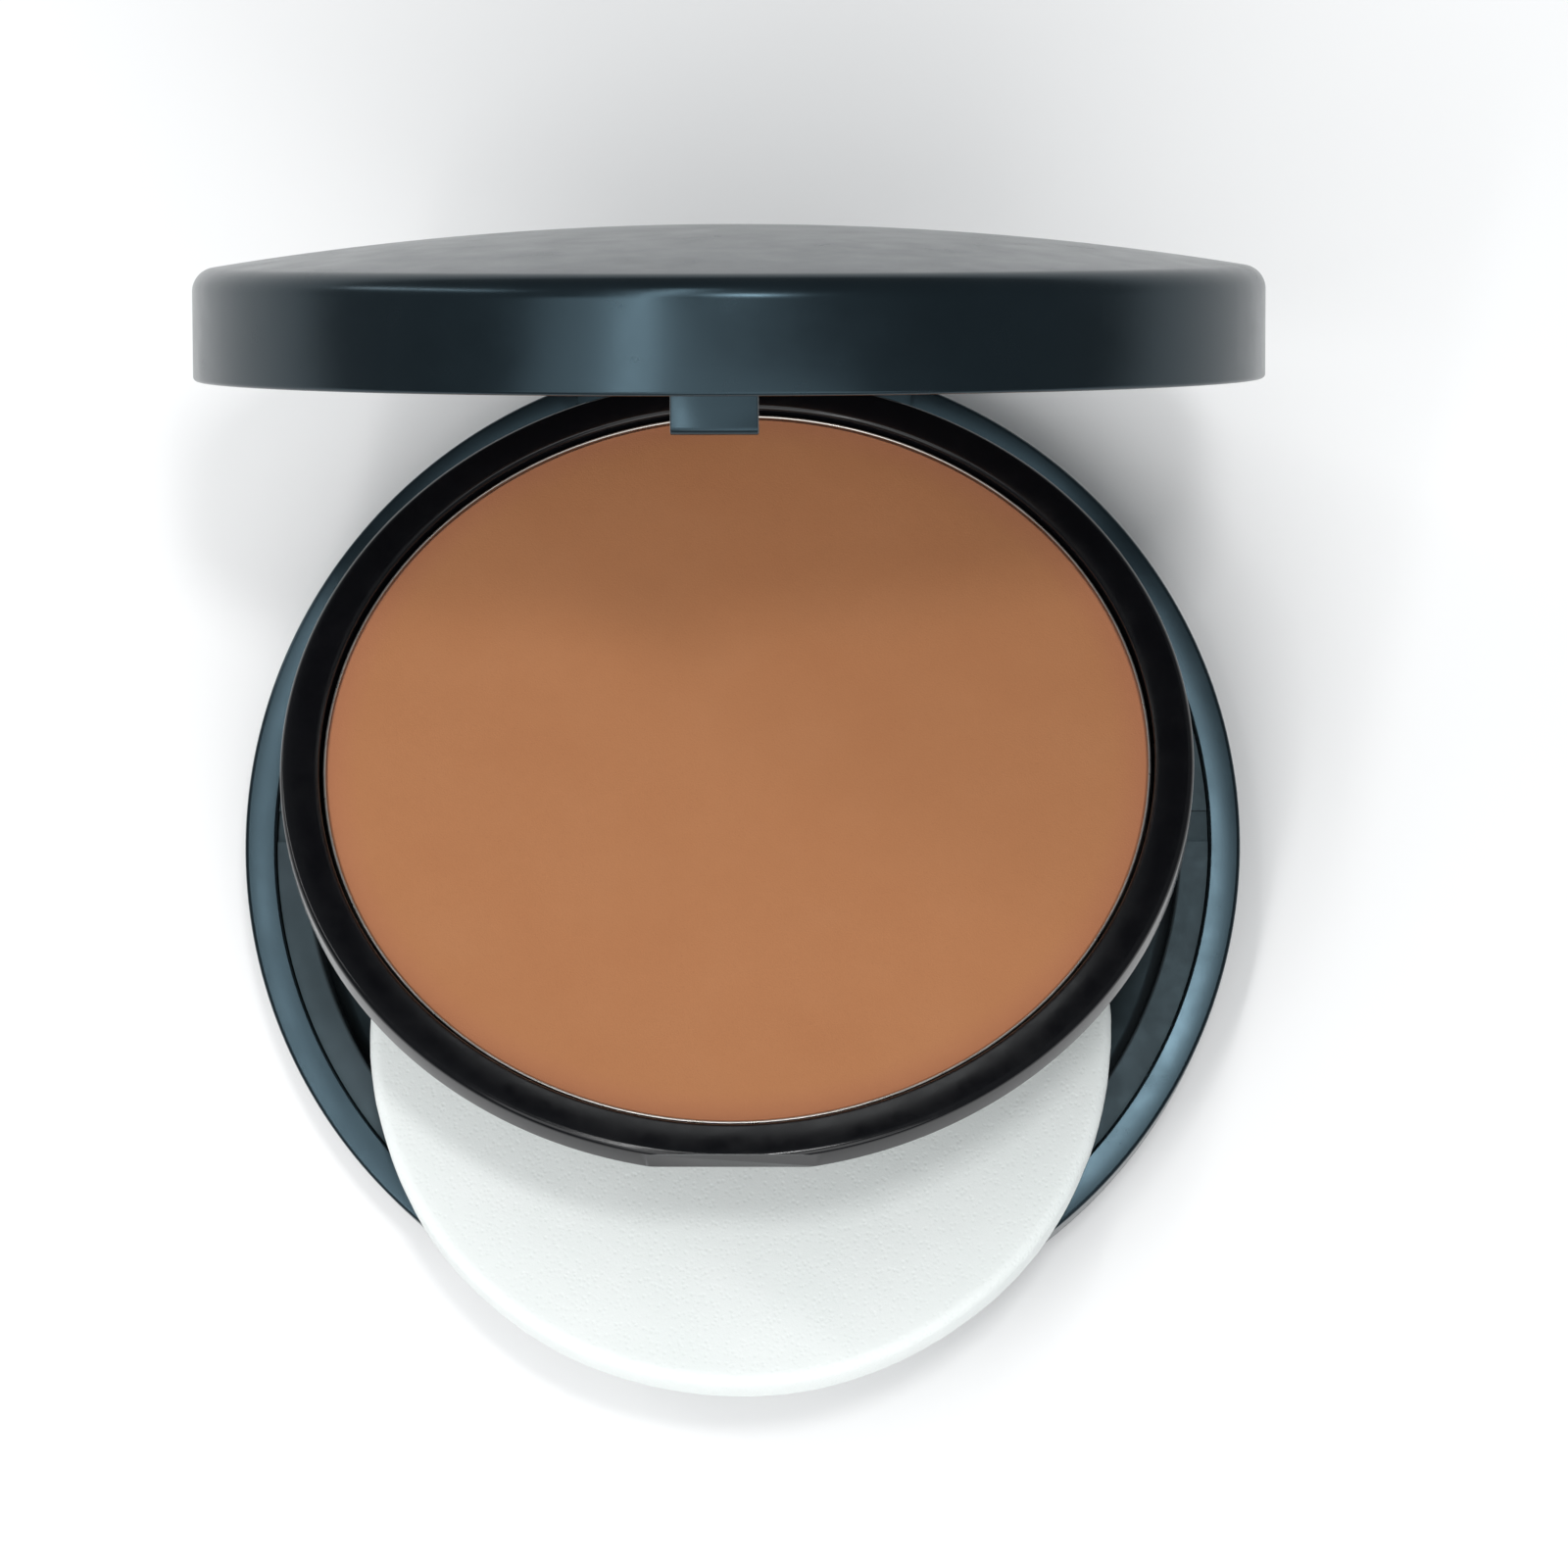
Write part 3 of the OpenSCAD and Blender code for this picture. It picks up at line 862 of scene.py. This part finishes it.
def build_hook():
    """The latch hook: a flat strip down the front with a barb behind its tip."""
    low = LID_LOW.z - LID_Z
    root, foot = 2.4 * MM, 0.35 * MM
    in_wall = -CASE_R + LID_T - 0.3 * MM
    back = HOOK_FRONT + HOOK_T
    side = rounded([
        (HOOK_FRONT, low, 0.55 * MM),
        (back + BARB, low, 0.2 * MM),
        (back + BARB, low + 0.65 * MM, 0.12 * MM),
        (back, low + 0.75 * MM, 0.1 * MM),
        (back, root, 0),
        (in_wall, root, 0),
        (in_wall, foot, 0),
        (HOOK_FRONT, foot, 0),
    ])
    return softened(prism("hook", side, -HOOK_HALF, HOOK_HALF, ALONG_X), 0.12 * MM, 2, 60)


def build_lid():
    """The domed lid with its hook and two knuckles, its open rim at z = 0."""
    to_rim = Matrix.Translation((0, 0, -LID_Z))
    lid = turned("lid_case", lid_outline(), closed=False)
    cut(lid, hinge_notch(-MM, 2.7 * MM))
    knuckles = knuckle_pair("lid_knuckle", LID_KNUCKLE, HINGE.z, LID_Z + 3.2 * MM, HINGE.y - 1.2 * MM)
    for part in knuckles:
        part.data.transform(to_rim)
    add(lid, build_hook(), *knuckles)
    end = LID_KNUCKLE[1] + PAST
    bore = axle("bore", PIN_R + PIN_GAP, -end, end)
    bore.data.transform(to_rim)
    return cut(lid, bore)


def build_mirror_frame():
    """The ring that fills the lid round the mirror, with gaps for the hinge and the hook."""
    radius = FRAME_HIGH.x
    low, high = FRAME_LOW.z - LID_Z, FRAME_HIGH.z - LID_Z
    plate = 2.5 * MM
    pocket_r = GLASS_HIGH.x + 0.1 * MM
    seat = GLASS_HIGH.z - LID_Z + 0.22 * MM
    rim = turned("mirror_surround", rounded([
        (0, high, 0),
        (radius, high, 0.2 * MM),
        (radius, low, 0.2 * MM),
        (radius - MM, low, 0.25 * MM),
        (radius - MM, plate, 0.4 * MM),
        (pocket_r, plate, 0.25 * MM),
        (pocket_r, seat, 0),
        (0, seat, 0),
    ]), closed=False)
    hinge_half = NOTCH_HALF + 0.3 * MM
    room = 0.4 * MM
    hook_half = HOOK_HALF + room
    hook_back = HOOK_FRONT + HOOK_T + BARB + room
    return cut(
        rim,
        block("hinge_gap", (-hinge_half, radius - 4 * MM, -MM), (hinge_half, CASE_R, plate)),
        block("hook_gap", (-hook_half, -CASE_R, -MM), (hook_half, hook_back, plate)),
    )


def build_glass():
    """The round mirror with a ground edge."""
    radius = GLASS_HIGH.x
    low, high = GLASS_LOW.z - LID_Z, GLASS_HIGH.z - LID_Z
    return turned("mirror_plate", rounded([
        (0, low, 0),
        (radius - 0.5 * MM, low, 0),
        (radius, low + 0.25 * MM, 0.08 * MM),
        (radius, high, 0.1 * MM),
        (0, high, 0),
    ]), closed=False)


# ------------------------------------------------------------------ the sponge


def build_sponge():
    """A die-cut foam round: softly crowned, its sides bulging a little and its faces uneven."""
    half = SPONGE_T / 2
    crown = 0.22 * MM
    bulge = 0.95 * MM
    reach = SPONGE_R - bulge
    steps = 44
    top = [Vector((reach * k / steps, half - crown * (k / steps) ** 3)) for k in range(steps + 1)]
    side = arc((reach, half - crown - bulge), bulge, 90, 8, 8)[1:]
    side += [Vector((p.x, -p.y)) for p in reversed(side)]
    bottom = [Vector((p.x, -p.y)) for p in reversed(top)]
    sponge = turned("foam_sponge", top + side + bottom, closed=False, steps=320)
    shrink = 0.1
    swells = ((90, 0.10), (600, 0.03), (2200, 0.015))    # waves to a metre, millimetres
    for v in sponge.data.vertices:
        soft = sum(noise.noise(v.co * waves) * height for waves, height in swells)
        inward = Vector((-v.co.x, -v.co.y, -v.co.z * 4)).normalized()
        v.co += inward * (shrink + soft) * MM
    return sponge


def lay_sponge(sponge):
    """Puts the sponge where its CAD solid lies, front edge tipped up."""
    centre = (SPONGE_LOW + SPONGE_HIGH) / 2
    sponge.data.transform(Matrix.Translation(centre) @ Matrix.Rotation(-SPONGE_TIP, 4, "X"))


def tuck_sponge(sponge):
    """Gives the sponge its own copy of its mesh; it stays as laid, front edge tipped up."""
    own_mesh(sponge)


# ------------------------------------------------------------------ camera, floor and light

LIT = (0, 0, 0.03)    # the point that the lights face

def make_camera():
    """Almost straight down on the open compact, from in front of it, as the photograph was taken."""
    data = bpy.data.cameras.new("camera")
    camera = bpy.data.objects.new("camera", data)
    bpy.context.collection.objects.link(camera)
    data.sensor_width = 36
    data.lens = 139.6
    data.clip_start = 0.01
    eye = Vector((12.51, -65.68, 468.31)) * MM
    aside, forward, roll = math.radians(1.16), math.radians(8.67), math.radians(0.13)
    turn = Matrix.Rotation(aside, 4, "Y") @ Matrix.Rotation(forward, 4, "X") @ Matrix.Rotation(roll, 4, "Z")
    camera.matrix_world = Matrix.Translation(eye) @ turn
    bpy.context.scene.camera = camera


def softbox(name, place_at, width, depth, watts):
    """A rectangular area light at a place, facing the compact."""
    data = bpy.data.lights.new(name, "AREA")
    data.shape = "RECTANGLE"
    data.size = width
    data.size_y = depth
    data.energy = watts
    lamp = bpy.data.objects.new(name, data)
    bpy.context.collection.objects.link(lamp)
    lamp.location = place_at
    lamp.rotation_euler = (Vector(LIT) - Vector(place_at)).to_track_quat("-Z", "Y").to_euler()


def make_floor():
    """A wide pale sheet just under the compact."""
    bm = bmesh.new()
    half = 2.5
    corners = ((-half, -half), (half, -half), (half, half), (-half, half))
    bm.faces.new([bm.verts.new((x, y, -0.02 * MM)) for x, y in corners])
    floor = make("floor", bm)
    floor.data.materials.append(floor_finish())


def light_scene():
    """Soft light from above and in front, strips that draw the rims' and the lid's highlights, pale sky."""
    world = bpy.data.worlds.new("studio")
    world.use_nodes = True
    sky = world.node_tree.nodes["Background"].inputs
    sky["Color"].default_value = (0.9, 0.96, 1.0, 1)
    sky["Strength"].default_value = 0.22
    bpy.context.scene.world = world
    softbox("main", (-0.12, -0.42, 0.74), 1.1, 0.6, 3.8)
    softbox("front_fill", (0.10, -0.75, 0.55), 1.0, 0.35, 2.1)
    softbox("strip", (-0.20, 0.05, 0.84), 0.9, 0.05, 2.2)
    softbox("right_key", (0.07, 0.06, 0.82), 0.10, 0.06, 1.2)
    softbox("back_left", (-0.72, 0.43, 0.40), 0.08, 0.6, 0.9)


# ------------------------------------------------------------------ assembly


def assemble():
    """Every piece in its place, on its body, with its material."""
    soft, gloss, satin = soft_touch(), gloss_black(), satin_black()
    on_tray = lifted(TRAY_ANGLE)
    on_lid = lifted(LID_ANGLE) @ Matrix.Translation((0, 0, LID_Z))
    place(build_base_shell(), soft, "base", ["base_shell"])
    place(build_liner(), satin, "base", ["base_liner"])
    place(build_button(), soft, "button", ["push_button"])
    spring = build_spring()
    place(spring, steel(), "base", ["button_spring"])
    press_spring(spring)
    place(build_tray(), gloss, "tray", ["tray_frame"], on_tray)
    place(build_pan(), aluminium(), "tray", ["powder_pan"], on_tray)
    place(build_cake(), powder(), "tray", ["powder_cake"], on_tray)
    place(build_lid(), soft, "lid", ["lid_shell"], on_lid)
    place(build_mirror_frame(), gloss, "lid", ["mirror_frame"], on_lid)
    place(build_glass(), mirror(), "lid", ["mirror_glass"], on_lid)
    sponge = build_sponge()
    lay_sponge(sponge)
    place(sponge, foam(), "sponge", ["sponge"])
    tuck_sponge(sponge)


def finish_cad_nodes():
    """Gives the CAD pieces that stay their materials."""
    tape = adhesive()
    finishes = {"hinge_pin": steel(), "base_label": label_film(), "mirror_tape": tape, "pan_adhesive": tape}
    for node, material in finishes.items():
        mesh = frame["nodes"][node].data
        mesh.materials.clear()
        mesh.materials.append(material)


bpy.context.scene.view_settings.view_transform = "Standard"
make_camera()
make_floor()
light_scene()
assemble()
finish_cad_nodes()
